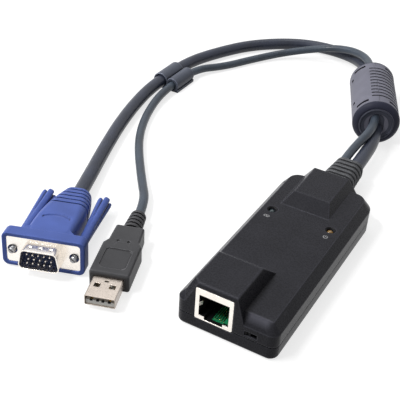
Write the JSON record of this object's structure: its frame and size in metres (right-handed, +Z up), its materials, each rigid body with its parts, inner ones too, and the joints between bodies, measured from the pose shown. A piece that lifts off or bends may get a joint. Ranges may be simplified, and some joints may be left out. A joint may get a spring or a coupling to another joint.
{
  "type": "server console adapter",
  "caption": "Server console adapter: an oblong moulded housing with a network socket, ribbed cord relief, ferrite and clip, and cords ending in video and USB plugs.",
  "frame": {"origin": "middle of the housing's underside, on the surface that it stands on", "axes": "+Z up; +Y along the housing from its socket face to its cord end; +X right as the socket faces the reader"},
  "size_m": [0.1491, 0.2676, 0.0235],
  "materials": {
    "charcoal_plastic": "fine moulded texture",
    "board_green": "solder mask",
    "chip_black": "moulded package",
    "nickel": "plated",
    "steel": "zinc",
    "gold": "plated",
    "black_plastic": "satin",
    "white_plastic": "satin",
    "lamp_amber": "clear moulding",
    "lamp_green": "clear moulding",
    "soft_black": "soft moulding",
    "video_blue": "soft moulding",
    "insulator_black": "moulded",
    "cord_grey": "satin jacket",
    "usb_cord_grey": "satin jacket",
    "ferrite_grey": "satin",
    "ferrite_dark": "sintered",
    "clip_grey": "soft moulding"
  },
  "bodies": {
    "adapter": {"cable_header": "white_plastic", "clock_crystal": "nickel", "controller_chip": "chip_black", "cord_clip": "clip_grey", "ferrite_core": "ferrite_dark", "ferrite_cover_left": "ferrite_grey", "ferrite_cover_right": "ferrite_grey", "housing_screws": "steel", "link_lamp": "lamp_green", "lower_shell": "charcoal_plastic", "main_board": "board_green", "network_transformer": "chip_black", "power_lamp": "lamp_amber", "recovery_switch_body": "black_plastic", "socket_contacts": "gold", "socket_insert": "black_plastic", "socket_shield": "nickel", "strain_relief": "soft_black", "upper_shell": "charcoal_plastic", "usb_cord": "usb_cord_grey", "usb_plug_contacts": "gold", "usb_plug_overmould": "soft_black", "usb_plug_shell": "nickel", "usb_plug_tongue": "white_plastic", "video_chip": "chip_black", "video_cord": "cord_grey", "video_plug_hood": "video_blue", "video_plug_insulator": "insulator_black", "video_plug_pins": "gold", "video_plug_shell": "nickel"},
    "left_thumbscrew": {"left_thumb_knob": "video_blue", "left_thumb_screw": "steel"},
    "right_thumbscrew": {"right_thumb_knob": "video_blue", "right_thumb_screw": "steel"},
    "recovery_switch_slide": {"recovery_switch_knob": "black_plastic"}
  },
  "joints": [
    {"name": "left_thumbscrew_turn", "type": "hinge", "parent": "adapter", "child": "left_thumbscrew", "pos_m": [-0.09704, -0.03827, 0.00675], "axis": [-0.333, 0.9403, -0.0698], "continuous": true},
    {"name": "right_thumbscrew_turn", "type": "hinge", "parent": "adapter", "child": "right_thumbscrew", "pos_m": [-0.07348, -0.02992, 0.00675], "axis": [-0.333, 0.9403, -0.0698], "continuous": true},
    {"name": "recovery_switch_travel", "type": "slide", "parent": "adapter", "child": "recovery_switch_slide", "axis": [1, 0, 0], "range_m": [0, 0.0022]}
  ]
}
